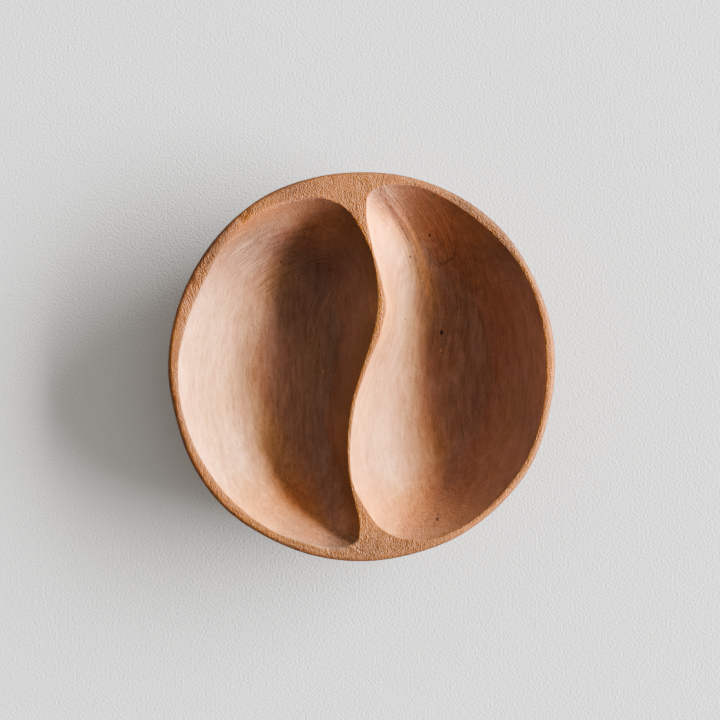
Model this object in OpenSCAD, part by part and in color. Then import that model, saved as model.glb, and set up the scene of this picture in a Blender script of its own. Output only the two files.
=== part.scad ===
// Divided serving bowl, carved from one block of wood.
// A shallow round bowl with two hollows. The wood left between them is the divider, an S-shaped ridge
// that runs from the rim at the back to the rim at the front.
// The bowl stands on its foot at z = 0, centred on the z axis. The back of the bowl is towards +y.

/* [Body] */
// Mean diameter of the rim, seen from above
bowl_d = 160; // [145:1:190]
// Height from the resting face to the top of the rim
bowl_h = 40; // [32:1:56]
// Diameter of the flat foot that the bowl stands on
foot_d = 88; // [78:1:110]
// Steepness of the outside where it leaves the foot, in degrees
heel_angle = 20; // [8:1:35]
// Rounding of the rim's outer edge
rim_round = 1.6; // [0.8:0.1:2.4]

/* [Rim and divider] */
// Width of the rim beside the hollows
rim_w = 4; // [3.5:0.1:9]
// Width of the divider's crest where it is broadest, near the middle
divider_w = 5; // [4.5:0.1:9]
// Rounding where the hollows meet the rim and the crest
edge_round = 0.4; // [0.2:0.05:0.5]

/* [Hollows] */
// Thickness of the wood under the left hollow
left_floor = 10.5; // [5:0.5:16]
// Thickness of the wood under the right hollow
right_floor = 7; // [5:0.5:16]
// Extra height of the divider's right flank where it is fullest, towards the back
flank_fullness = 6.5; // [0:0.5:8]

/* [Hidden] */

bowl_r = bowl_d / 2;
foot_r = foot_d / 2;
inner_r = bowl_r - rim_w;
// How far the tools that cut the hollows stand out above the rim
overrun = 2;

// Radius of the hand-cut rim every 15 degrees from +x, as shares of bowl_r
rim_shares = [
    1.000, 1.003, 1.004, 1.015, 1.015, 1.012, 1.006, 1.010, 1.015, 1.007, 0.999, 0.997,
    0.998, 0.993, 1.007, 1.014, 1.005, 1.004, 1.003, 1.001, 1.008, 1.009, 1.013, 0.999
];

// The divider's centre line from the back to the front, as shares [x, y] of inner_r,
// with half the crest's width there as a share of divider_w
divider_shares = [
    [-0.003, 0.796, 0.54], [0.056, 0.633, 0.17], [0.089, 0.498, 0.26], [0.111, 0.335, 0.50],
    [0.081, 0.172, 0.38], [0.021, 0.009, 0.26], [-0.039, -0.180, 0.21], [-0.067, -0.370, 0.19],
    [-0.067, -0.533, 0.15], [-0.044, -0.668, 0.21], [0.024, -0.831, 0.66]
];

// The edge of each hollow along the rim, from the divider's back end round to its front end,
// as shares [x, y] of inner_r
left_edge_shares = [
    [-0.085, 0.851], [-0.144, 0.888], [-0.253, 0.908], [-0.415, 0.872], [-0.589, 0.801],
    [-0.730, 0.677], [-0.849, 0.465], [-0.952, 0.216], [-0.993, -0.034], [-0.955, -0.289],
    [-0.852, -0.527], [-0.692, -0.733], [-0.480, -0.888], [-0.253, -0.964], [-0.117, -0.974],
    [-0.035, -0.945], [-0.022, -0.890]
];
right_edge_shares = [
    [0.030, 0.877], [0.042, 0.930], [0.089, 0.964], [0.176, 0.978], [0.306, 0.967], [0.479, 0.893],
    [0.685, 0.742], [0.862, 0.536], [0.965, 0.291], [1.000, 0.020], [0.976, -0.256],
    [0.886, -0.511], [0.721, -0.728], [0.539, -0.869], [0.371, -0.931], [0.219, -0.929],
    [0.132, -0.889]
];

// The level oval floor of each hollow: its middle and its half sizes across and along,
// as shares [x, y] of inner_r
left_middle_shares = [-0.355, 0.06];
left_level_shares = [0.18, 0.43];
right_middle_shares = [0.50, -0.01];
right_level_shares = [0.15, 0.34];

// The full part of the divider's right flank: its middle and its reach across and along,
// as shares [x, y] of inner_r, and how far it leans towards the left at the back
full_middle_shares = [0.179, 0.589];
full_reach_shares = [0.109, 0.305];
full_lean = 26;

// Points that the curves put between two given points, and rings down each surface
rim_steps = 3;
edge_steps = 3;
round_rings = 3;
wall_rings = 9;
outside_rings = 11;

// One point of the smooth curve that runs from b to c, where a and d are their outer neighbours
function curve_point(a, b, c, d, t) =
    (2 * b + (c - a) * t + (2 * a - 5 * b + 4 * c - d) * t ^ 2 + (3 * b - a - 3 * c + d) * t ^ 3) / 2;

// A smooth closed curve through all the points, with more points between them
function closed_curve(points, steps) =
    let (n = len(points))
    [for (i = [0 : n - 1], k = [0 : steps - 1])
        curve_point(points[(i + n - 1) % n], points[i], points[(i + 1) % n], points[(i + 2) % n], k / steps)];

// The points moved outwards by a distance, square to the anticlockwise curve that they lie on
function moved_out(points, distance) =
    let (n = len(points))
    [for (i = [0 : n - 1])
        let (along = points[(i + 1) % n] - points[(i + n - 1) % n])
        points[i] + [along.y, -along.x] * distance / norm(along)];

function middle_of(values) = (min(values) + max(values)) / 2;
function at_height(points, z) = [for (p = points) [p.x, p.y, z]];
function reversed(list) = [for (i = [len(list) - 1 : -1 : 0]) list[i]];

// The rim as it is cut, then moved so that it reaches as far to either side of the z axis
cut_rim = closed_curve([
    for (i = [0 : len(rim_shares) - 1])
        let (angle = 360 * i / len(rim_shares))
        bowl_r * rim_shares[i] * [cos(angle), sin(angle)]
], rim_steps);
cut_middle = [middle_of([for (p = cut_rim) p.x]), middle_of([for (p = cut_rim) p.y])];
rim = [for (p = cut_rim) p - cut_middle];

// Each hollow's edge, anticlockwise: along the rim, then back along the divider's crest
left_edge = closed_curve(concat(
    [for (s = left_edge_shares) inner_r * s],
    [for (s = reversed(divider_shares)) [inner_r * s.x - divider_w * s[2], inner_r * s.y]]
), edge_steps);
right_edge = closed_curve(concat(
    [for (s = reversed(right_edge_shares)) inner_r * s],
    [for (s = divider_shares) [inner_r * s.x + divider_w * s[2], inner_r * s.y]]
), edge_steps);

// A closed solid skinned over rings of equal length that are stacked upwards, anticlockwise from above
module skin(rings) {
    n = len(rings[0]);
    last = len(rings) - 1;
    polyhedron(
        points = [for (ring = rings) each ring],
        faces = concat(
            [[for (i = [0 : n - 1]) i]],
            [for (r = [0 : last - 1], i = [0 : n - 1])
                let (a = r * n + i, b = r * n + (i + 1) % n)
                each [[a, a + n, b], [b, a + n, b + n]]],
            [[for (i = [n - 1 : -1 : 0]) last * n + i]]
        )
    );
}

// The block before it is hollowed: the foot, the side that swells out from it and the rounded rim
module outside() {
    side_h = bowl_h - rim_round;
    side = [for (k = [0 : outside_rings])
        let (angle = heel_angle + (90 - heel_angle) * k / outside_rings)
        let (out = (sin(angle) - sin(heel_angle)) / (1 - sin(heel_angle)))
        let (up = 1 - cos(angle) / cos(heel_angle))
        at_height([for (p = rim) foot_r * p / norm(p) * (1 - out) + p * out], side_h * up)];
    edge = [for (k = [1 : round_rings])
        let (angle = 90 * k / round_rings)
        at_height([for (p = rim) p - p / norm(p) * rim_round * (1 - cos(angle))],
            side_h + rim_round * sin(angle))];
    skin(concat(side, edge));
}

// How full the flank is at a point that lies a share up of the way out from the level floor to the edge.
// It fades out towards both.
function fullness(p, up) =
    let (from = p - inner_r * full_middle_shares)
    let (across = from.x * cos(full_lean) + from.y * sin(full_lean))
    let (along = from.y * cos(full_lean) - from.x * sin(full_lean))
    let (away = norm([across / full_reach_shares.x, along / full_reach_shares.y]) / inner_r)
    (1 - up ^ 8) * (1 - (1 - up) ^ 6) / exp(away ^ 2);

// What is carved out for one hollow: its wall sweeps down from the edge and runs out level on the floor
module hollow(edge, middle_shares, level_shares, floor_z, full_h) {
    wall_top = bowl_h - edge_round;
    middle = inner_r * middle_shares;
    level = [for (p = edge)
        let (spread = [(p - middle).x / level_shares.x, (p - middle).y / level_shares.y] / inner_r)
        middle + (p - middle) / norm(spread)];
    wall = [for (k = [0 : wall_rings])
        let (up = k / wall_rings)
        [for (p = level + (edge - level) * up)
            [p.x, p.y, floor_z + (wall_top - floor_z) * up ^ 2 + full_h * fullness(p, up)]]];
    lip = [for (k = [1 : round_rings])
        let (angle = 90 * k / round_rings)
        at_height(moved_out(edge, edge_round * (1 - cos(angle))), wall_top + edge_round * sin(angle))];
    top = at_height(moved_out(edge, edge_round), bowl_h + overrun);
    skin(concat(wall, lip, [top]));
}

module bowl() {
    color([0.66, 0.44, 0.30])
        difference() {
            outside();
            hollow(left_edge, left_middle_shares, left_level_shares, left_floor, 0);
            hollow(right_edge, right_middle_shares, right_level_shares, right_floor, flank_fullness);
        }
}

bowl();
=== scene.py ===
# %% [markdown]
# # A divided serving bowl, carved from one block
# The real bowl is one piece of open-pored reddish-brown hardwood. A carver cut it round, hollowed it twice
# and left an S-shaped ridge of wood between the hollows. There is nothing to assemble, so this lesson is
# about surfaces: how to mesh a hand-cut form so that its edges stay crisp, how to let Geometry Nodes add
# the unevenness that a gouge leaves, and how to write wood as a solid pattern that runs through the block.

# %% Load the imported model
import math

import bpy
import numpy as np
from mathutils import Matrix, Vector, geometry


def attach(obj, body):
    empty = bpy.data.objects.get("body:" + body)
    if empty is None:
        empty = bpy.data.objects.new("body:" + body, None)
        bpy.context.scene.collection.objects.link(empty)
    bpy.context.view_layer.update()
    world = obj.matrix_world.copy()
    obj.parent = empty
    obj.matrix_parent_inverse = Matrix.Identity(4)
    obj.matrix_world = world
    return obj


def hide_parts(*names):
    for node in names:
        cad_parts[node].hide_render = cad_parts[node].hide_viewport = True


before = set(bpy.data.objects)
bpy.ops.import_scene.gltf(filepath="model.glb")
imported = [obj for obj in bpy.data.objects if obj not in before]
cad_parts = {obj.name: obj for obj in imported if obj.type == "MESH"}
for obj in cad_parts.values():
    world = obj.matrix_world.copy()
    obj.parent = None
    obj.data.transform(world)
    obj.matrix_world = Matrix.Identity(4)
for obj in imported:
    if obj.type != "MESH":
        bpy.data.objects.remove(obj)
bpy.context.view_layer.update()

# %% [markdown]
# ## Sizes
# These are the bowl's real sizes in metres. They are the same as in its construction, but for the rim's
# outer edge, which is rounded 0.2 mm more, as sanding and use leave it.

# %% Sizes
MM = 0.001
BOWL_R = 80 * MM
BOWL_H = 40 * MM
FOOT_R = 44 * MM
HEEL_ANGLE = math.radians(20)
RIM_ROUND = 1.8 * MM
INNER_R = BOWL_R - 4 * MM
DIVIDER_W = 5 * MM
print("bowl", round(2 * BOWL_R / MM), "mm across and", round(BOWL_H / MM), "mm high")

# %% [markdown]
# ## Outlines
# A hand-cut rim isn't a circle. A short list of places, as shares of the radius that they follow, says where
# it wanders, and a curve through them makes it smooth again. The same is done for both hollows, which share
# the divider's centre line. Drawing the curves by hand would work too, but then no size could be changed.

# %% Outlines
# The rim's radius every 15 degrees from +x, as shares of BOWL_R
RIM_SHARES = [
    1.000, 1.003, 1.004, 1.015, 1.015, 1.012, 1.006, 1.010, 1.015, 1.007, 0.999, 0.997,
    0.998, 0.993, 1.007, 1.014, 1.005, 1.004, 1.003, 1.001, 1.008, 1.009, 1.013, 0.999]

# The divider's centre line, back to front: x and y as shares of INNER_R, half width of DIVIDER_W
DIVIDER_SHARES = [
    (-0.003, 0.796, 0.54), (0.056, 0.633, 0.17), (0.089, 0.498, 0.26), (0.111, 0.335, 0.50),
    (0.081, 0.172, 0.38), (0.021, 0.009, 0.26), (-0.039, -0.180, 0.21), (-0.067, -0.370, 0.19),
    (-0.067, -0.533, 0.15), (-0.044, -0.668, 0.21), (0.024, -0.831, 0.66)]

# Each hollow's edge along the rim, back to front: x and y as shares of INNER_R
LEFT_EDGE_SHARES = [
    (-0.085, 0.851), (-0.144, 0.888), (-0.253, 0.908), (-0.415, 0.872), (-0.589, 0.801),
    (-0.730, 0.677), (-0.849, 0.465), (-0.952, 0.216), (-0.993, -0.034), (-0.955, -0.289),
    (-0.852, -0.527), (-0.692, -0.733), (-0.480, -0.888), (-0.253, -0.964), (-0.117, -0.974),
    (-0.035, -0.945), (-0.022, -0.890)]
RIGHT_EDGE_SHARES = [
    (0.030, 0.877), (0.042, 0.930), (0.089, 0.964), (0.176, 0.978), (0.306, 0.967), (0.479, 0.893),
    (0.685, 0.742), (0.862, 0.536), (0.965, 0.291), (1.000, 0.020), (0.976, -0.256),
    (0.886, -0.511), (0.721, -0.728), (0.539, -0.869), (0.371, -0.931), (0.219, -0.929),
    (0.132, -0.889)]
print(len(RIM_SHARES), "places on the rim,", len(DIVIDER_SHARES), "on the divider")

# %% Smooth curves through the outlines
LOOP_POINTS = 480
STEPS_BETWEEN = 40


def closed_curve(points, count):
    """A smooth closed curve through the points, as count places spaced evenly along it."""
    points = np.array(points, float)
    before, after = np.roll(points, 1, 0), np.roll(points, -1, 0)
    beyond = np.roll(points, -2, 0)
    t = np.linspace(0, 1, STEPS_BETWEEN, endpoint=False)[None, :, None]
    a, b, c, d = (p[:, None, :] for p in (before, points, after, beyond))
    fine = (2 * b + (c - a) * t + (2 * a - 5 * b + 4 * c - d) * t**2 + (3 * b - a - 3 * c + d) * t**3) / 2
    fine = fine.reshape(-1, 2)
    loop = np.vstack([fine, fine[:1]])
    along = np.concatenate([[0], np.cumsum(np.linalg.norm(np.diff(loop, axis=0), axis=1))])
    wanted = np.linspace(0, along[-1], count, endpoint=False)
    return np.stack([np.interp(wanted, along, loop[:, i]) for i in (0, 1)], axis=1)


def turned(angle, radius):
    """The place at a radius from the middle, in the direction of an angle."""
    return radius * math.cos(angle), radius * math.sin(angle)


rim = closed_curve([turned(math.tau * i / len(RIM_SHARES), BOWL_R * share)
                    for i, share in enumerate(RIM_SHARES)], LOOP_POINTS)
rim -= (rim.min(axis=0) + rim.max(axis=0)) / 2
left_edge = closed_curve(
    [(INNER_R * x, INNER_R * y) for x, y in LEFT_EDGE_SHARES]
    + [(INNER_R * x - DIVIDER_W * half, INNER_R * y) for x, y, half in DIVIDER_SHARES[::-1]], LOOP_POINTS)
right_edge = closed_curve(
    [(INNER_R * x, INNER_R * y) for x, y in RIGHT_EDGE_SHARES[::-1]]
    + [(INNER_R * x + DIVIDER_W * half, INNER_R * y) for x, y, half in DIVIDER_SHARES], LOOP_POINTS)
print("rim measures", np.round(np.ptp(rim, axis=0) / MM, 1), "mm")

# %% [markdown]
# ## The carved form
# The real surface came from cutting wood away: a gouge swept down from each edge and levelled out on the
# floor. It could be sculpted, or cut with booleans, but a boolean leaves long thin faces along the very
# edges that catch the light. Here the mesh is skinned over rings that follow the edges themselves: down
# each wall, around each rounded lip and down the outside.

# %% Rings and strips
verts, faces = [], []


def add_points(points, height):
    """Add one vertex for each place, and return their numbers."""
    first = len(verts)
    heights = np.broadcast_to(height, len(points))
    verts.extend((float(x), float(y), float(z)) for (x, y), z in zip(points, heights))
    return list(range(first, first + len(points)))


def add_strip(upper, lower):
    """Join two rings of vertices. Going outwards, or down the outside, the faces look out."""
    count = len(upper)
    for i in range(count):
        j = (i + 1) % count
        faces.append((upper[i], lower[i], lower[j], upper[j]))


def outward_normals(loop):
    """Unit vectors square to an anticlockwise loop, pointing out of it."""
    along = np.roll(loop, -1, 0) - np.roll(loop, 1, 0)
    out = np.stack([along[:, 1], -along[:, 0]], axis=1)
    return out / np.linalg.norm(out, axis=1)[:, None]


print("the mesh starts with", len(verts), "vertices")

# %% [markdown]
# ## The level areas
# The rim's land and the two floors are areas between loops. One large face would do for a flat area, but
# the tool marks that come later need points to move. So each area gets an even grid of points, joined to
# its loops by Delaunay triangles, which are as even as triangles can be.

# %% An even grid between loops
# The nearest that a grid point may come to a loop, as a share of the grid's spacing
CLEAR_OF_LOOP = 0.6


def is_inside(places, loop):
    """Tell for each place whether it lies inside a closed loop."""
    x0, y0 = loop[:, 0], loop[:, 1]
    x1, y1 = np.roll(x0, -1), np.roll(y0, -1)
    x, y = places[:, 0, None], places[:, 1, None]
    crosses = (y0 > y) != (y1 > y)
    slope = (x1 - x0) / np.where(y1 == y0, 1e-12, y1 - y0)
    return ((crosses & (x < x0 + (y - y0) * slope)).sum(axis=1) % 2) == 1


def grid_between(loops, spacing):
    """Places of an even triangular grid inside the first loop, outside the others and clear of them all."""
    low, high = loops[0].min(axis=0), loops[0].max(axis=0)
    rows = np.arange(low[1], high[1], spacing * math.sqrt(3) / 2)
    grid = np.array([(x + spacing / 2 * (k % 2), y) for k, y in enumerate(rows)
                     for x in np.arange(low[0], high[0], spacing)])
    grid = grid[is_inside(grid, loops[0])]
    for loop in loops[1:]:
        grid = grid[~is_inside(grid, loop)]
    for loop in loops:
        gap = np.array([np.min(np.hypot(*(loop - place).T)) for place in grid])
        grid = grid[gap > spacing * CLEAR_OF_LOOP]
    return grid


print("a 2 mm grid puts", len(grid_between([left_edge], 2 * MM)), "points in the left hollow's edge")

# %% Fill an area with triangles


def fill(outer, holes, spacing, height, face_up=True):
    """Fill the area between loops with even triangles. Each loop is (vertex numbers, places)."""
    loops = [loop for _, loop in [outer] + holes]
    grid = grid_between(loops, spacing)
    inner = add_points(grid, height(grid) if callable(height) else height)
    numbers = sum((list(n) for n, _ in [outer] + holes), []) + inner
    places = np.vstack(loops + [grid])
    edges, start = [], 0
    for loop in loops:
        edges += [(start + i, start + (i + 1) % len(loop)) for i in range(len(loop))]
        start += len(loop)
    _, _, cells, origins, _, _ = geometry.delaunay_2d_cdt(
        [Vector(place) for place in places.tolist()], edges, [], 0, 1e-9)
    cells = np.array([[origins[v][0] for v in cell] for cell in cells])
    middles = places[cells].mean(axis=1)
    keep = is_inside(middles, loops[0])
    for loop in loops[1:]:
        keep &= ~is_inside(middles, loop)
    for cell in cells[keep]:
        (ax, ay), (bx, by), (cx, cy) = places[cell]
        turns_left = (bx - ax) * (cy - ay) - (by - ay) * (cx - ax) > 0
        ordered = cell if turns_left == face_up else cell[::-1]
        faces.append(tuple(numbers[v] for v in ordered))
    print("filled", int(keep.sum()), "triangles")


print("so far", len(verts), "vertices and", len(faces), "faces")

# %% [markdown]
# ## The curve of a wall
# Each hollow has a level oval floor. From it the wall climbs in a parabola, gently at first and steeply
# at the edge, which is the curve that a scooping gouge cuts. A small blend keeps the place where the
# curve starts from showing as a line. A bulge in the edge fades out down the wall, because a gouge can't
# follow it there.

# %% The curve of a wall
BLEND = 0.14
# How far a loop is evened out at the foot of the wall, in points
WALL_EVENING = 20


def climb(up):
    """Height up the wall, 0 to 1, for a share of the way out from floor to edge."""
    soft = (up + np.sqrt(up**2 + BLEND**2)) / 2
    full = (1 + math.sqrt(1 + BLEND**2)) / 2
    return (soft / full)**2


def evened_out(loop, reach):
    """A closed loop of values, each averaged with its neighbours as far as a number of points away."""
    waves = np.fft.rfft(loop, axis=0)
    fading = np.exp(-(math.tau * np.arange(len(waves)) / len(loop) * reach)**2 / 2)
    return np.fft.irfft(waves * fading[:, None], len(loop), axis=0)


print("halfway out, a wall has climbed", round(100 * float(climb(np.array(0.5)))), "% of its height")

# %% [markdown]
# ## Eased edges
# The hollows' edges are small and crisp, but a hand has eased them in a few places: at the divider's bend
# and where the hollows come close to the rim. A bevel modifier would round them all alike, so each point of
# an edge gets a size of its own.

# %% Eased edges
LIP_ROUND = 0.55 * MM
# Places where the edge was eased: x and y as shares of INNER_R, reach and extra rounding
EASED_SPOTS = [
    (0.140, 0.335, 11 * MM, 1.1 * MM), (-0.62, 0.79, 16 * MM, 1.2 * MM), (-0.36, 0.89, 12 * MM, 1.6 * MM),
    (-0.14, -0.97, 10 * MM, 1.6 * MM), (0.26, 0.97, 12 * MM, 1.2 * MM)]


def lip_size(edge):
    """Rounding of a hollow's edge at each of its points."""
    size = np.full(len(edge), LIP_ROUND)
    for x, y, reach, extra in EASED_SPOTS:
        away = np.hypot(edge[:, 0] - INNER_R * x, edge[:, 1] - INNER_R * y)
        size += extra * np.exp(-(away / reach)**2)
    return size


print("lips are rounded by up to", round(float(lip_size(left_edge).max()) / MM, 1), "mm")

# %% [markdown]
# ## The full flank
# The divider's right flank swells towards its back end, where the carver left more wood. A parabola has no
# such swelling. It could be a lump that is joined on, but then a seam would show, so it is a smooth rise in
# the wall's own height. It leans with the divider and fades towards the floor and the edge.

# %% The full flank
FULL_MIDDLE = np.array((0.179, 0.589)) * INNER_R
FULL_REACH = np.array((0.109, 0.305)) * INNER_R
FULL_LEAN = math.radians(26)
FULL_H = 6.5 * MM


def fullness(places, up):
    """How much higher the wall stands at places that lie a share up of the way out from the floor."""
    turn = np.array([(math.cos(FULL_LEAN), -math.sin(FULL_LEAN)), (math.sin(FULL_LEAN), math.cos(FULL_LEAN))])
    away = np.linalg.norm((places - FULL_MIDDLE) @ turn / FULL_REACH, axis=1)
    return FULL_H * np.exp(-away**2) * (1 - up**8) * (1 - (1 - up)**6)


print("the flank is fullest at", np.round(FULL_MIDDLE / MM, 1), "mm")

# %% [markdown]
# ## Skin the two hollows
# Now the rings are stacked from the floor's oval out to the edge and over the lip. The rings are close
# enough together for the tool marks that come later.

# %% Skin one hollow
WALL_RINGS = 50
LIP_RINGS = 5
FLOOR_SPACING = 1.1 * MM
# How fast the curve runs on below the floor's oval, against how fast it climbs outside it
FLOOR_RUN = 0.6


def add_hollow(edge, middle, level, floor, full_flank):
    """Skin one hollow from its floor to the top of its lip, and return the lip's outer loop."""
    middle, level = INNER_R * np.array(middle), INNER_R * np.array(level)
    spread = np.linalg.norm((edge - middle) / level, axis=1)
    oval = middle + (edge - middle) / spread[:, None]
    lip = lip_size(edge)
    out = outward_normals(edge)
    rise = (BOWL_H - lip) - floor
    floor_ring = add_points(oval, floor + rise * climb(np.array(0.0)))
    ring = floor_ring
    for k in range(1, WALL_RINGS + 1):
        up = k / WALL_RINGS
        places = oval + evened_out(edge - oval, WALL_EVENING * (1 - up)) * up
        higher = add_points(places, floor + rise * climb(np.array(up)) + full_flank * fullness(places, up))
        add_strip(ring, higher)
        ring = higher
    for k in range(1, LIP_RINGS + 1):
        angle = math.pi / 2 * k / LIP_RINGS
        top = edge + out * (lip * (1 - math.cos(angle)))[:, None]
        higher = add_points(top, BOWL_H - lip + lip * math.sin(angle))
        add_strip(ring, higher)
        ring = higher

    def floor_height(places):
        """The floor dips a little below its oval, so that the wall's curve runs out smoothly."""
        inward = (np.linalg.norm((places - middle) / level, axis=1) - 1) * FLOOR_RUN
        return floor + rise.mean() * climb(inward)

    fill((floor_ring, oval), [], FLOOR_SPACING, floor_height)
    return ring, top


print("a hollow takes", WALL_RINGS + LIP_RINGS, "rings of", LOOP_POINTS, "points")

# %% The two hollows
# The floor's middle and half sizes are shares of INNER_R. "floor" is the wood left under it.
SIDES = {
    "left": {"edge": left_edge, "middle": (-0.355, 0.06), "level": (0.18, 0.43), "floor": 10.5 * MM,
             "full_flank": 0},
    "right": {"edge": right_edge, "middle": (0.50, -0.01), "level": (0.15, 0.34), "floor": 7 * MM,
              "full_flank": 1},
}
left_lip = add_hollow(**SIDES["left"])
right_lip = add_hollow(**SIDES["right"])
hollow_points = len(verts)
print("the hollows have", hollow_points, "vertices")

# %% [markdown]
# ## The outside and the rim's land
# The photograph shows the bowl from above, so its outside is a choice: a side that swells out from a flat
# foot, as on bowls of this kind. Its rings turn over the rounded rim and end on the land, which is filled
# around the two hollows.

# %% The outside, the foot and the land
SIDE_RINGS = 38
ROUND_RINGS = 7
FOOT_SPACING = 3 * MM
LAND_SPACING = 0.85 * MM

unit = rim / np.linalg.norm(rim, axis=1)[:, None]
side_h = BOWL_H - RIM_ROUND
land_edge = rim - unit * RIM_ROUND
ring = add_points(land_edge, BOWL_H)
land_ring = ring
for k in range(1, ROUND_RINGS + 1):
    angle = math.pi / 2 * (1 - k / ROUND_RINGS)
    lower = add_points(rim - unit * RIM_ROUND * (1 - math.cos(angle)), side_h + RIM_ROUND * math.sin(angle))
    add_strip(ring, lower)
    ring = lower
for k in range(1, SIDE_RINGS + 1):
    angle = math.pi / 2 + (HEEL_ANGLE - math.pi / 2) * k / SIDE_RINGS
    out = (math.sin(angle) - math.sin(HEEL_ANGLE)) / (1 - math.sin(HEEL_ANGLE))
    up = 1 - math.cos(angle) / math.cos(HEEL_ANGLE)
    places = unit * FOOT_R * (1 - out) + rim * out
    lower = add_points(places, side_h * up)
    add_strip(ring, lower)
    ring = lower
fill((ring, places), [], FOOT_SPACING, 0.0, face_up=False)
fill((land_ring, land_edge), [left_lip, right_lip], LAND_SPACING, BOWL_H)

# %% [markdown]
# ## The ridge and the chips
# Two cuts of the gouge met in the right hollow and left a rough ridge, and the rim and the crest have
# small chips. Each could be cut with a boolean, but all of them are shallow, so the mesh's points are
# simply lifted along the ridge's path and sunk where a chip is. The places before that are kept as points,
# for the painting further down.

# %% Where the ridge and the chips are
# The ridge's path in mm from its back end, its height, its reach to each side, and where it fades in along y
RIDGE = np.array([(9, 74), (15, 64), (20.5, 55), (23.5, 45), (26.5, 34), (28.5, 22)]) * MM
RIDGE_H = 0.9 * MM
RIDGE_REACH = 1.7 * MM
RIDGE_START, RIDGE_GROWTH = 20 * MM, 26 * MM
# Chips in the rim and the crest: place and size in mm. A chip's depth is a share of its size.
CHIPS = [(-70.7, 35.4, 1.7), (-49.5, 61.0, 1.9), (-47.0, 63.6, 1.4), (-6.4, -32.1, 0.8), (5.2, 31.3, 0.8),
         (1.9, 6.2, 0.7), (-77.6, -14.0, 1.2), (61.5, -51.5, 1.3)]
CHIP_DEPTH = 0.4
# Chips only sink what lies within this depth of the rim's height
CHIPPED_H = 4 * MM


def distance_to_path(places, path):
    """How far each place lies from the nearest stretch of a path."""
    gaps = []
    for start, end in zip(path[:-1], path[1:]):
        share = np.clip((places - start) @ (end - start) / np.sum((end - start)**2), 0, 1)
        gaps.append(np.hypot(*(places - start - share[:, None] * (end - start)).T))
    return np.min(gaps, axis=0)


print("the ridge is", round(float(np.sum(np.hypot(*np.diff(RIDGE, axis=0).T))) / MM), "mm long")

# %% Lift the ridge, sink the chips and make the mesh
points = np.array(verts)
form = points.copy()
away = distance_to_path(form[:hollow_points, :2], RIDGE)
fade_in = np.clip((form[:hollow_points, 1] - RIDGE_START) / RIDGE_GROWTH, 0, 1)
form[:hollow_points, 2] += RIDGE_H * fade_in * np.exp(-(away / RIDGE_REACH)**2)
form[:, 2] = np.minimum(form[:, 2], BOWL_H)
near_top = form[:, 2] > BOWL_H - CHIPPED_H
for x, y, size in CHIPS:
    away = np.hypot(form[:, 0] - x * MM, form[:, 1] - y * MM)
    form[:, 2] -= near_top * CHIP_DEPTH * size * MM * np.exp(-(away / size / MM)**2)

mesh = bpy.data.meshes.new("carved_bowl")
mesh.from_pydata(form.tolist(), [], faces)
mesh.update()
bowl = bpy.data.objects.new("carved_bowl", mesh)
bpy.context.scene.collection.objects.link(bowl)
print("carved form:", len(mesh.vertices), "vertices,",
      sum(len(p.vertices) - 2 for p in mesh.polygons), "triangles")

# %% [markdown]
# ## Helpers for nodes and colours
# One function adds a node of any kind, sets its settings and fills its inputs with values or links. Where
# it's given a whole node, it links that node's first output. Hex colours are what the eye sees on a screen,
# and a shader wants linear light, so one function turns them.

# %% Node and colour helpers


def add(tree, kind, inputs=None, **settings):
    """Add a node. Inputs are given by name or number, each a value, a node or another node's output."""
    node = tree.nodes.new(kind)
    for name, value in settings.items():
        setattr(node, name, value)
    for key, value in (inputs or {}).items():
        if isinstance(value, bpy.types.Node):
            value = next(output for output in value.outputs if output.enabled)
        if isinstance(value, bpy.types.NodeSocket):
            tree.links.new(value, node.inputs[key])
        else:
            node.inputs[key].default_value = value
    return node


def linear(hex_colour):
    """An sRGB hex colour as linear red, green, blue and alpha."""
    parts = [int(hex_colour[i:i + 2], 16) / 255 for i in (1, 3, 5)]
    return [p / 12.92 if p <= 0.04045 else ((p + 0.055) / 1.055)**2.4 for p in parts] + [1.0]


print("a middle grey in linear light is", round(linear("#808080")[0], 3))

# %% [markdown]
# ## Unevenness from the gouge, with Geometry Nodes
# No carved surface is true. Long shallow flats from the gouge and scraper show as slow changes in the
# sheen, and the rim's land is a little wavy. Sculpting them would work once. A Geometry Nodes tree moves
# each point along its normal by seeded noise instead, so the marks can be made deeper or finer by
# changing one named input. The foot was rubbed flat, so the marks fade out towards it.

# %% Carving marks tree
MARK_INPUTS = {
    "Flat depth": 0.30 * MM, "Flat width": 11 * MM, "Flat length": 34 * MM,
    "Ripple depth": 0.09 * MM, "Ripple size": 3.2 * MM, "Seed": 4.0}
# The marks grow from nothing to full between these heights
MARKS_FROM, MARKS_FULL = 0.5 * MM, 6 * MM

marks = bpy.data.node_groups.new("gouge_and_scraper_marks", "GeometryNodeTree")
marks.interface.new_socket("Geometry", in_out="INPUT", socket_type="NodeSocketGeometry")
marks_sockets = {
    name: marks.interface.new_socket(name, in_out="INPUT", socket_type="NodeSocketFloat")
    for name in MARK_INPUTS}
marks.interface.new_socket("Geometry", in_out="OUTPUT", socket_type="NodeSocketGeometry")
given = add(marks, "NodeGroupInput").outputs
where = add(marks, "GeometryNodeInputPosition")


def tool_marks(width, length, depth, detail):
    """How far one kind of mark moves a point. Its width, length and depth are inputs of the tree."""
    size = add(marks, "ShaderNodeCombineXYZ", {"X": given[width], "Y": given[length], "Z": given[width]})
    noise = add(marks, "ShaderNodeTexNoise", {
        "Vector": add(marks, "ShaderNodeVectorMath", {0: where, 1: size}, operation="DIVIDE"),
        "W": given["Seed"], "Scale": 1.0, "Detail": detail}, noise_dimensions="4D")
    either_way = add(marks, "ShaderNodeMath", {0: noise, 1: 0.5}, operation="SUBTRACT")
    return add(marks, "ShaderNodeMath", {0: either_way, 1: given[depth]}, operation="MULTIPLY")


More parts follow.
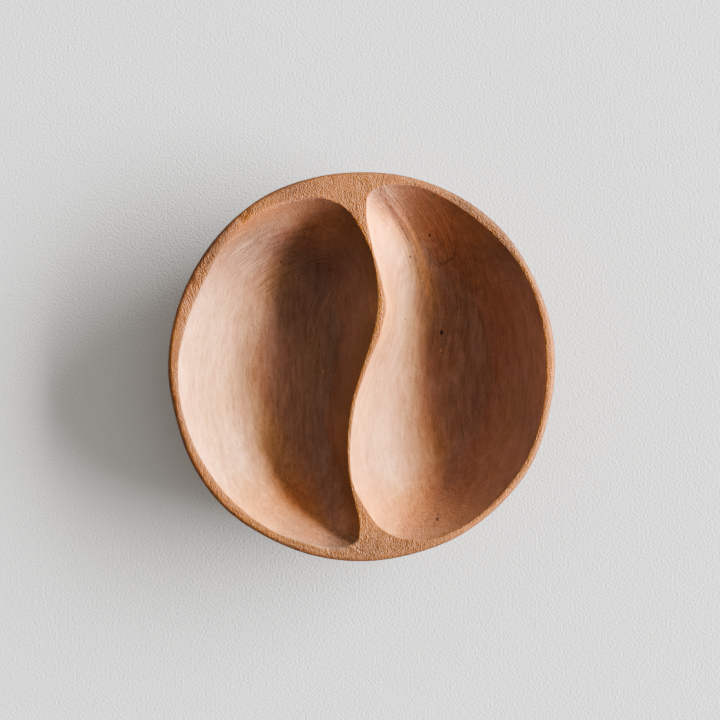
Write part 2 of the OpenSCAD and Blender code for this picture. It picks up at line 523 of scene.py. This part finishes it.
move = add(marks, "ShaderNodeMath", {
    0: tool_marks("Flat width", "Flat length", "Flat depth", 1.0),
    1: tool_marks("Ripple size", "Ripple size", "Ripple depth", 2.0)}, operation="ADD")
fade = add(marks, "ShaderNodeMapRange", {
    "Value": add(marks, "ShaderNodeSeparateXYZ", {0: where}).outputs["Z"],
    "From Min": MARKS_FROM, "From Max": MARKS_FULL})
amount = add(marks, "ShaderNodeMath", {0: move, 1: fade}, operation="MULTIPLY")
offset = add(marks, "ShaderNodeVectorMath", {
    0: add(marks, "GeometryNodeInputNormal"), "Scale": amount}, operation="SCALE")
moved = add(marks, "GeometryNodeSetPosition", {"Geometry": given["Geometry"], "Offset": offset})
print("the marks tree has", len(marks.nodes), "nodes")

# %% [markdown]
# ## Where the surface was torn and scratched
# The real bowl isn't marked evenly. Where the cut crosses the grain, at the back and the front, the fibres
# tore off short, and a few places keep the strokes of a scraper. A texture that covers everything can't
# show that. So each vertex carries values that the material reads: how torn it is, how scratched it is, its
# own place measured across and along the strokes, and whether it is on the bowl's side.

# %% Torn places


def ramp(values, low, high):
    """0 below low, 1 above high, and a soft step between them."""
    share = np.clip((values - low) / (high - low), 0, 1)
    return share * share * (3 - 2 * share)


normals = np.array([vertex.normal for vertex in mesh.vertices])
in_hollow = np.arange(len(points)) < hollow_points
on_land = ramp(normals[:, 2], 0.7, 0.95) * ~in_hollow
near_ridge = ramp(distance_to_path(points[:, :2], RIDGE), 4.5 * MM, 1.0 * MM)
near_ridge *= (normals[:, 2] > 0) * ramp(points[:, 1], 24 * MM, 40 * MM)
torn = np.maximum.reduce([
    near_ridge,
    0.7 * ramp(abs(normals[:, 1]), 0.25, 0.8),
    0.9 * ramp(abs(points[:, 1]), 58 * MM, 70 * MM),
    0.5 * on_land])
torn *= np.where(in_hollow, 1, 0.25 + 0.35 * on_land)
side = ~in_hollow * ramp(normals[:, 2], 0.5, 0.0)
print("torn over", round(float((torn > 0.3).mean()) * 100), "% of the vertices")

# %% Scratched places
# A scratched place: its middle in mm, the strokes' direction in degrees, its reach along and across in mm,
# and how strong the scratches are
SCRATCHED = [
    (-38, 46, 28, 20, 14, 1.4), (-28, 60, -58, 6, 9, 1.0), (-43, -36, -66, 15, 6, 0.8),
    (-11, -71, -30, 9, 4, 0.8), (19, 56, -61, 18, 6, 1.6), (30, 58, -60, 20, 8, 0.8),
    (38, 34, -80, 28, 14, 0.6), (-20, 20, 75, 22, 8, 0.5), (-66, 5, -86, 40, 9, 0.5)]
# Strokes bend a little, as an arm swings
STROKE_RADIUS = 55 * MM
# Each place takes its strokes from another slice of the pattern, this far from the last
SLICE_GAP = 50 * MM

scratched, strokes = np.zeros(len(points)), np.zeros((len(points), 3))
for number, (x, y, degrees, reach_along, reach_across, strength) in enumerate(SCRATCHED):
    turn = math.radians(degrees)
    from_middle = points[:, :2] - (x * MM, y * MM)
    along = from_middle @ (math.cos(turn), math.sin(turn))
    across = from_middle @ (-math.sin(turn), math.cos(turn)) + along**2 / (2 * STROKE_RADIUS)
    here = strength * np.exp(-(along / reach_along / MM)**4 - (across / reach_across / MM)**4)
    here *= normals[:, 2] > 0.1
    chosen = here > scratched
    strokes[chosen] = np.stack([across, along, np.full(len(along), number * SLICE_GAP)], axis=1)[chosen]
    scratched = np.maximum(scratched, here)
print("scratched over", round(float((scratched > 0.3).mean()) * 100), "% of the vertices")

# %% [markdown]
# ## The tint: wear, stains, painted light and painted shade
# Walls that face the window are painted paler than light alone makes them, as painted light, and walls that
# face away are painted darker, as painted shade. The flank of the divider is warmer, and the land and the
# outside are darkened by hands. The rim's outer rounding and the side are painted darker still, as painted
# shade. Stains change the land, spots in the hollows are painted light and shade that move the edges of the
# lit parts, and a few whitish spots are a painted sheen. Each is a soft share of the surface, worked out from
# where it lies and which way it faces, and a change of red, green and blue that goes with it.

# %% Shares of the surface
# Stains and painted light and shade: place, reach along x and y in mm, and strength, below zero where it's
# paler
# Most are painted light and shade in the hollows, which move the edges of the lit and shaded parts; the rest
# change the land's colour
STAINS_AND_PAINTED_SHADING = [
    (-15, 44, 12, 12, 0.22), (-18, 60, 5, 5, 0.12), (-62, 52, 14, 18, 0.48), (60, 52, 13, 13, 0.34),
    (-32, 74, 14, 6, 0.38), (44, 66, 16, 8, 0.42), (-8, -68, 7, 7, -0.55), (5.5, 25, 3, 8, -0.50),
    (43, -38, 10, 14, -0.12), (-33, -42, 5, 12, 0.20), (24, 51, 7, 9, -0.50), (31, 41, 7, 9, -0.55),
    (-17, 58, 6, 7, -0.40), (-31, 44, 7, 9, -0.50), (-4, -32, 3, 25, 0.18), (69, -24, 3, 14, 0.15),
    (4, -75, 34, 6, 0.32), (10, 58, 8, 9, -0.45), (14, 45, 7, 10, -0.35), (-29, 59, 7, 6, -0.50),
    (-39, 3, 6, 40, -0.30), (-51, 8, 5, 30, 0.20), (28, -18, 6, 22, -0.32), (77, 4, 3, 22, -0.32),
    (-10, -4, 4, 20, 0.25), (-5, 60, 4, 10, 0.22), (66, 6, 7, 30, 0.10), (-27, 22, 8, 15, 0.20),
    (-71, -2, 5, 36, 0.12)]
# Painted sheen: whitish places on the walls where a satin sheen is painted on: place and reach along x and y
# in mm
PAINTED_SHEEN_PLACES = [(12, -40, 5, 13), (20, 29, 4, 17), (-51, -34, 6, 11), (-63, 17, 7, 16)]
# The direction that the walls with painted light face, and how near the divider its warmer flank is
PAINTED_LIGHT_WAY = (0.74, 0.28, 0.61)
FLANK_REACH = 6.5 * MM


def spot(x, y, reach_x, reach_y):
    """1 at a place in mm, fading out softly over its reach along x and y."""
    return np.exp(-((points[:, 0] / MM - x) / reach_x)**2 - ((points[:, 1] / MM - y) / reach_y)**2)


# Painted light: how squarely a hollow's wall faces the window, and so how much paler it is painted
painted_light_share = ramp(normals @ PAINTED_LIGHT_WAY, 0.5, 0.95) * in_hollow
worn_lip = spot(-50, 58, 24, 24) * ramp(points[:, 2], BOWL_H - 12 * MM, BOWL_H)
handled = np.where(in_hollow, np.maximum(ramp(points[:, 2], BOWL_H - 0.3 * MM, BOWL_H), worn_lip), 1)
divider_line = np.array([(INNER_R * x, INNER_R * y) for x, y, _ in DIVIDER_SHARES])
by_divider = np.exp(-(distance_to_path(points[:, :2], divider_line) / FLANK_REACH)**2) * in_hollow
# On walls that face the window near the crest, the painted light is toned warmer and less pale
warm_flank = by_divider * (1 + spot(0, 20, math.inf, 20)) * (normals[:, 0] > 0)
# Painted shade: hollow walls that face away from the window are painted darker, most of all by the divider
painted_shade_turned_away = ramp(normals[:, 0], -0.1, -0.7) * in_hollow
on_floor = ramp(normals[:, 2], 0.78, 0.95) * in_hollow
near_front = ramp(-points[:, 1], 40 * MM, 62 * MM) * in_hollow
near_front *= np.maximum(painted_light_share, spot(22, 0, 26, math.inf))
near_back = ramp(points[:, 1], 44 * MM, 62 * MM) * in_hollow
# Painted shade: the rim's outer rounding and the side below it are painted darker
painted_shade_outside = ~in_hollow * ramp(normals[:, 2], 0.97, 0.6)
print("bleached over", round(float((painted_light_share > 0.5).mean()) * 100), "% of the vertices")

# %% Paint the tint and the marks
# Painted light, not on the land: where it begins, red grows first and blue last, each by its own power of the
# share
tint = 1 + (1 - handled[:, None]) * painted_light_share[:, None]**(1, 1.15, 1.5) * (1.00, 0.79, 0.20)
changes = [
    (handled, (-0.03, -0.41, -0.87)),
    (warm_flank, (-0.04, -0.17, -0.40)),
    (painted_shade_turned_away * (0.10 + 0.30 * by_divider), (-0.9, -1.2, -1.7)),
    (on_floor, (-0.02, 0.09, 0.10)),
    (near_front, (0.08, -0.12, -0.48)),
    (near_back, (0.22, 0.04, -0.18)),
    (painted_shade_outside, (-0.42, -0.46, -0.46))]
# Painted sheen: whiter spots on the hollows' walls
changes += [(spot(*where_sheen) * in_hollow, (0.06, 0.14, 0.26)) for where_sheen in PAINTED_SHEEN_PLACES]
changes += [(-strength * spot(*where_stained_or_shaded), (1, 1, 1)) for *where_stained_or_shaded, strength in STAINS_AND_PAINTED_SHADING]
for share, change in changes:
    tint *= 1 + share[:, None] * change
for name, kind, field, values in (
        ("tint", "FLOAT_VECTOR", "vector", tint), ("torn", "FLOAT", "value", torn),
        ("side", "FLOAT", "value", side), ("scratched", "FLOAT", "value", scratched),
        ("strokes", "FLOAT_VECTOR", "vector", strokes)):
    mesh.attributes.new(name, kind, "POINT").data.foreach_set(field, np.ravel(values).astype(np.float32))
print("the tint runs from", np.round(tint.min(axis=0), 2), "to", np.round(tint.max(axis=0), 2))

# %% [markdown]
# ## Wood: oiled, hand-scraped reddish hardwood
# To the eye this wood is a reddish brown, with fine streaks where the fibres run, faint growth layers, a
# few dark pores and a satin haze from scraped fibres under oil. A picture of wood wrapped round the form
# would slide across the divider. A solid pattern in the object's own space doesn't: the layers come out
# as long lines where the cut runs with the grain and as arcs on the floors. The grain runs along y. Real
# fibres are finer than a pixel, so the threads, the fuzz and the scratches are drawn 0.4 mm wide to show.

# %% Wood: its patterns
# Sizes across and along the grain
GRAIN = {
    "streak": (1.8 * MM, 9 * MM), "thread": (0.40 * MM, 4.5 * MM), "fuzz": (0.42 * MM, 0.7 * MM),
    "pore": (0.55 * MM, 2.4 * MM), "patch": (17 * MM, 30 * MM), "dark line": (1.3 * MM, 30 * MM),
    "torn fibre": (0.55 * MM, 1.5 * MM), "scratch": (0.45 * MM, 15 * MM), "wandering": (18 * MM, 40 * MM)}

wood = bpy.data.materials.new("oiled_scraped_reddish_hardwood")
wood.use_nodes = True
tree = wood.node_tree
tree.nodes.clear()
place = add(tree, "ShaderNodeTexCoord").outputs["Object"]
painted = {name: add(tree, "ShaderNodeAttribute", attribute_name=name).outputs
           for name in ("tint", "torn", "side", "scratched", "strokes")}


def in_grain(name, start=place):
    """A place measured in the sizes of one of the grain's patterns."""
    across, along = GRAIN[name]
    return add(tree, "ShaderNodeVectorMath", {
        0: start, 1: (1 / across, 1 / along, 1 / across)}, operation="MULTIPLY")


streaks, threads, fuzz, patches, dark_lines, wandering = (
    add(tree, "ShaderNodeTexNoise", {"Vector": in_grain(name), "Scale": 1.0, "Detail": detail})
    for name, detail in (("streak", 3.0), ("thread", 3.0), ("fuzz", 1.0), ("patch", 2.0),
                         ("dark line", 2.0), ("wandering", 3.0)))
pore_cells = add(tree, "ShaderNodeTexVoronoi", {"Vector": in_grain("pore"), "Scale": 0.42})
pores = add(tree, "ShaderNodeMapRange", {"Value": pore_cells, "From Min": 0.22, "From Max": 0.10})
# Fibres that tore off short lie at an angle to the grain
TORN_ANGLE = math.radians(-20)
turned_place = add(tree, "ShaderNodeVectorRotate", {
    "Vector": place, "Angle": TORN_ANGLE}, rotation_type="Z_AXIS")
torn_fibres = add(tree, "ShaderNodeTexNoise", {
    "Vector": in_grain("torn fibre", turned_place), "Scale": 1.0, "Detail": 3.0, "Distortion": 0.8})
scratches = add(tree, "ShaderNodeTexNoise", {
    "Vector": in_grain("scratch", painted["strokes"]["Vector"]), "Scale": 1.0, "Detail": 3.0})
print("the wood has", len(GRAIN), "sizes of pattern")

# %% [markdown]
# ## Growth layers
# A tree grows in layers round its heart, so the layers' pattern is noise along one number: the distance
# from a heart line. The line lies under the bowl and slopes a little against the grain. A slow wandering
# keeps the layers from being true circles.

# %% Wood: growth layers
HEART = Vector((-14 * MM, 0, -46 * MM))
HEART_SLOPE = 0.20
LAYER = 3.4 * MM
# How far the layers wander, in layers
LAYER_WANDERING = 5.0

from_heart = add(tree, "ShaderNodeSeparateXYZ", {
    0: add(tree, "ShaderNodeVectorMath", {0: place, 1: HEART}, operation="SUBTRACT")}).outputs
height = add(tree, "ShaderNodeMath", {
    0: from_heart["Y"], 1: HEART_SLOPE, 2: from_heart["Z"]}, operation="MULTIPLY_ADD")
radius = add(tree, "ShaderNodeVectorMath", {
    0: add(tree, "ShaderNodeCombineXYZ", {"X": from_heart["X"], "Z": height})}, operation="LENGTH")
layers = add(tree, "ShaderNodeTexNoise", {
    "W": add(tree, "ShaderNodeMath", {
        0: radius, 1: 1 / LAYER,
        2: add(tree, "ShaderNodeMath", {0: wandering, 1: LAYER_WANDERING}, operation="MULTIPLY")},
        operation="MULTIPLY_ADD"),
    "Scale": 1.0, "Detail": 2.0}, noise_dimensions="1D")
print("growth layers are", round(LAYER / MM, 1), "mm thick")

# %% [markdown]
# ## The wood's colour
# Four patterns of different coarseness make up how light or dark the wood is. Over that go reddish and
# olive patches, dark lines and pores, and on the side, which was left smoother, the growth layers. The
# painted tint multiplies all of it. Torn fibres and scratches come last, because their broken ends look
# paler or darker than the surface whatever its tint. Specks are too few for a pattern, so each has a place.

# %% Wood: colour
TONE_SHARES = ((streaks, 0.50), (layers, 0.22), (threads, 0.32), (fuzz, 0.26))
# Specks: place in mm, size in mm and colour. They are stretched a little along the grain.
SPECKS = [
    (28.6, 55.2, 0.55, "#1E110B"), (34.0, 14.4, 0.80, "#24140D"), (33.6, 7.0, 0.45, "#D9B08A"),
    (31.5, -63.4, 0.60, "#26160E"), (31.9, -61.5, 0.40, "#26160E"), (18.4, 20.0, 0.35, "#4A2C1E"),
    (-34.0, 44.1, 0.40, "#3A2216"), (-16.3, -2.1, 0.40, "#D9B08A"), (20.4, 46.1, 0.45, "#3A2216")]
SPECK_SQUASH = Vector((1, 0.6, 0))


def laid_over(under, pattern, low, high, most, colour, only_where=None):
    """Lay a colour over another: none of it where the pattern is low, and the most where it's high."""
    cover = add(tree, "ShaderNodeMapRange", {
        "Value": pattern, "From Min": low, "From Max": high, "To Max": most})
    if only_where is not None:
        cover = add(tree, "ShaderNodeMath", {0: cover, 1: only_where}, operation="MULTIPLY")
    return add(tree, "ShaderNodeMix", {"Factor": cover, "A": under, "B": linear(colour)}, data_type="RGBA")


tone = 0.0
for pattern, share in TONE_SHARES:
    tone = add(tree, "ShaderNodeMath", {0: pattern, 1: share, 2: tone}, operation="MULTIPLY_ADD")
colour = laid_over(linear("#88665B"), tone, 0.49, 0.81, 1.0, "#A6847A")
colour = laid_over(colour, patches, 0.50, 0.70, 0.25, "#8A543B")
colour = laid_over(colour, patches, 0.50, 0.32, 0.30, "#826847")
colour = laid_over(colour, dark_lines, 0.60, 0.76, 0.22, "#4E3022")
colour = laid_over(colour, pores, 0.0, 1.0, 0.28, "#4A2C1E")
colour = laid_over(colour, layers, 0.50, 0.66, 0.60, "#5E3B28", painted["side"]["Fac"])
colour = add(tree, "ShaderNodeVectorMath", {0: colour, 1: painted["tint"]["Vector"]}, operation="MULTIPLY")
colour = laid_over(colour, torn_fibres, 0.53, 0.66, 0.55, "#BD8151", painted["torn"]["Fac"])
colour = laid_over(colour, torn_fibres, 0.47, 0.33, 0.70, "#5C3826", painted["torn"]["Fac"])
colour = laid_over(colour, scratches, 0.54, 0.66, 0.60, "#CCA280", painted["scratched"]["Fac"])
colour = laid_over(colour, scratches, 0.44, 0.30, 0.50, "#5C3826", painted["scratched"]["Fac"])
squashed = add(tree, "ShaderNodeVectorMath", {0: place, 1: SPECK_SQUASH}, operation="MULTIPLY")
for x, y, size, speck_colour in SPECKS:
    aside = add(tree, "ShaderNodeVectorMath", {
        0: squashed, 1: Vector((x, y, 0)) * MM * SPECK_SQUASH}, operation="DISTANCE")
    colour = laid_over(colour, aside, size * MM, size * MM / 2, 0.9, speck_colour)
print("colour takes", len(tree.nodes), "nodes")

# %% [markdown]
# ## Relief and gloss
# The same patterns that colour the wood also roughen it, each as much as its marks are deep. Oiled wood
# has the usual gloss of a material with an IOR of 1.5, and scraping leaves it satin. Short fibres that
# stand up give it a faint sheen at the edges.

# %% Wood: relief and gloss
RELIEF_DEPTH = 0.26 * MM
torn_relief = add(tree, "ShaderNodeMath", {0: torn_fibres, 1: painted["torn"]["Fac"]}, operation="MULTIPLY")
scratch_relief = add(tree, "ShaderNodeMath", {
    0: scratches, 1: painted["scratched"]["Fac"]}, operation="MULTIPLY")
relief = 0.0
for pattern, depth in ((tone, 2.3), (pores, -0.5), (fuzz, 2.2), (torn_relief, 4.0), (scratch_relief, 3.6)):
    relief = add(tree, "ShaderNodeMath", {0: pattern, 1: depth, 2: relief}, operation="MULTIPLY_ADD")
bump = add(tree, "ShaderNodeBump", {"Height": relief, "Strength": 0.9, "Distance": RELIEF_DEPTH})
shader = add(tree, "ShaderNodeBsdfPrincipled", {
    "Base Color": colour, "Roughness": 0.52, "IOR": 1.5, "Normal": bump,
    "Sheen Weight": 0.10, "Sheen Roughness": 0.5, "Sheen Tint": linear("#FFF1E4")})
add(tree, "ShaderNodeOutputMaterial", {"Surface": shader})
print("the finished wood has", len(tree.nodes), "nodes")

# %% [markdown]
# ## Run the tree once and keep a plain mesh
# A modifier that stays live would be worked out again for every export. Its result is a plain mesh, so
# the tree is run once here, and the mesh that it makes takes the modifier's place.

# %% Apply the carving marks
set_wood = add(marks, "GeometryNodeSetMaterial", {
    "Geometry": add(marks, "GeometryNodeRealizeInstances", {"Geometry": moved}), "Material": wood})
add(marks, "NodeGroupOutput", {"Geometry": set_wood})
modifier = bowl.modifiers.new("marks", "NODES")
modifier.node_group = marks
for name, value in MARK_INPUTS.items():
    modifier[marks_sockets[name].identifier] = value
evaluated = bowl.evaluated_get(bpy.context.evaluated_depsgraph_get())
carved = bpy.data.meshes.new_from_object(evaluated)
bowl.modifiers.remove(modifier)
bowl.data = carved
carved.name = "carved_bowl"
carved.shade_smooth()
print("after the marks:", [round(v / MM, 2) for v in bowl.dimensions], "mm")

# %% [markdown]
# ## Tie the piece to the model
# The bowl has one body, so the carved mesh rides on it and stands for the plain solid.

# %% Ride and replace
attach(bowl, "root")
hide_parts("bowl")
print("the carved mesh rides on root")

# %% [markdown]
# ## Floor
# A plain pale floor catches the bowl's shadow. Its faint pebbled grain keeps the shadow from looking like
# a flat wash. The grain is drawn about 1 mm coarse, so that it shows.

# %% Floor
PEBBLE = 0.95 * MM
PEBBLE_DEPTH = 0.2 * MM

bpy.ops.mesh.primitive_plane_add(size=6)
table = bpy.context.object
table.name = "pale_table"
paper = bpy.data.materials.new("matt_pale_laminate")
paper.use_nodes = True
paper.node_tree.nodes.clear()
pebbles = add(paper.node_tree, "ShaderNodeTexNoise", {
    "Vector": add(paper.node_tree, "ShaderNodeTexCoord").outputs["Object"],
    "Scale": 1 / PEBBLE, "Detail": 0.0})
add(paper.node_tree, "ShaderNodeOutputMaterial", {
    "Surface": add(paper.node_tree, "ShaderNodeBsdfPrincipled", {
        "Base Color": linear("#C8C9CB"), "Roughness": 0.6, "IOR": 1.45,
        "Normal": add(paper.node_tree, "ShaderNodeBump", {
            "Height": pebbles, "Strength": 0.8, "Distance": PEBBLE_DEPTH})})})
table.data.materials.append(paper)
print("floor", round(table.dimensions.x, 1), "m wide")

# %% [markdown]
# ## Windows
# The light's place was worked out from the photograph: the bowl's shadow runs to a point, which neither one
# small lamp nor a tall window gives. A window that is long and low does, with its middle 28 degrees above
# the floor on the right, and a low glow under it.

# %% Windows
# Distance to the windows' wall in metres. A window's corner and sides are measured in it.
ROOM = 9.0
FLOOR_LIGHT = 5.0
WINDOW_HUE = (1.0, 0.99, 0.98)
WINDOW_STEPS = 30


def add_window(name, corner, right, up, share):
    """A rectangular light. Its power gives the floor under the bowl this share of FLOOR_LIGHT."""
    corner, right, up = (ROOM * np.array(v) for v in (corner, right, up))
    wide, tall = np.linalg.norm(right), np.linalg.norm(up)
    square = np.cross(right, up) / (wide * tall)
    steps = (np.arange(WINDOW_STEPS) + 0.5) / WINDOW_STEPS
    spots = (corner + steps[:, None, None] * right + steps[None, :, None] * up).reshape(-1, 3)
    reach = np.linalg.norm(spots, axis=1)
    caught = (spots[:, 2] * abs(spots @ square) / reach**4).mean() * wide * tall
    light = bpy.data.lights.new(name, "AREA")
    light.shape = "RECTANGLE"
    light.size, light.size_y = wide, tall
    light.energy = share * FLOOR_LIGHT / caught * math.pi * wide * tall
    light.color = WINDOW_HUE
    holder = bpy.data.objects.new(name, light)
    axes = np.stack([right / wide, up / tall, square], axis=1)
    holder.matrix_world = Matrix(axes.tolist()).to_4x4()
    holder.location = corner + right / 2 + up / 2
    bpy.context.scene.collection.objects.link(holder)
    print(name, round(wide, 1), "by", round(tall, 1), "m,", round(light.energy), "W")


add_window("long_window", (1, -0.43, 0.36), (0, 1.35, 0), (0, 0, 0.38), 0.66)
add_window("low_glow", (1, -0.25, 0.03), (0, 0.70, 0), (0, 0, 0.17), 0.06)

# %% [markdown]
# ## What the room sends back
# The room's own glow decides how dark the shade is and how the shadow deepens towards the bowl. One even
# grey world would make both too flat, so each wall and the ceiling glows by itself, in the world's node
# tree. A wall grows from nothing to full over a stretch of x, y or z of the direction that light comes from.

# %% Room light
ROOM_HUE = (1.0, 0.95, 0.87, 1.0)
# Each glow: its strength, and the stretches: axis, value with no light, value with full light
ROOM_GLOWS = {
    "lower wall by the window": (12.0, (("X", 0.0, 1.0), ("Z", 0.35, 0.0))),
    "upper wall by the window": (0.5, (("X", 0.0, 1.0),)),
    "back wall": (0.55, (("Y", 0.0, 1.0),)),
    "far wall": (1.75, (("X", 0.0, -1.0), ("Z", 0.15, 0.40), ("Z", 0.70, 0.40))),
    "ceiling": (0.3, (("Z", 0.6, 1.0),))}

world = bpy.data.worlds.new("room")
bpy.context.scene.world = world
world.use_nodes = True
sky = world.node_tree
sky.nodes.clear()
direction = add(sky, "ShaderNodeSeparateXYZ", {
    0: add(sky, "ShaderNodeTexCoord").outputs["Generated"]}).outputs
room_light = 0.0
for strength, stretches in ROOM_GLOWS.values():
    glow = strength
    for axis, nothing, full in stretches:
        growth = add(sky, "ShaderNodeMapRange", {
            "Value": direction[axis], "From Min": nothing, "From Max": full})
        glow = add(sky, "ShaderNodeMath", {0: glow, 1: growth}, operation="MULTIPLY")
    room_light = add(sky, "ShaderNodeMath", {0: room_light, 1: glow}, operation="ADD")
add(sky, "ShaderNodeOutputWorld", {
    "Surface": add(sky, "ShaderNodeBackground", {"Color": ROOM_HUE, "Strength": room_light})})
print("the room glows from", len(ROOM_GLOWS), "sides")

# %% [markdown]
# ## Camera
# The bowl is seen from straight above through a long lens, so its side doesn't show. The camera's height
# and place make the rim as large in the frame as it is in the photograph. Display transforms differ in how
# they treat deep shade, and AgX with high contrast came nearest to the photograph's tones.

# %% Camera
# The photograph's frame is 720 pixels, and the rim takes 388.25 of them from left to right
FRAME_PX = 720
RIM_PX = 388.25
RIM_MIDDLE_PX = (361.6, 366.75)
LENS, SENSOR = 130, 36

mm_per_px = 2 * BOWL_R / RIM_PX
lens = bpy.data.cameras.new("overhead")
lens.lens, lens.sensor_width = LENS, SENSOR
camera = bpy.data.objects.new("overhead", lens)
away = FRAME_PX * mm_per_px * LENS / SENSOR
camera.location = ((FRAME_PX / 2 - RIM_MIDDLE_PX[0]) * mm_per_px,
                   (RIM_MIDDLE_PX[1] - FRAME_PX / 2) * mm_per_px, BOWL_H + away)
bpy.context.scene.collection.objects.link(camera)
bpy.context.scene.camera = camera
view = bpy.context.scene.view_settings
view.view_transform, view.look = "AgX", "AgX - High Contrast"
print("camera", round(away, 2), "m above the rim")
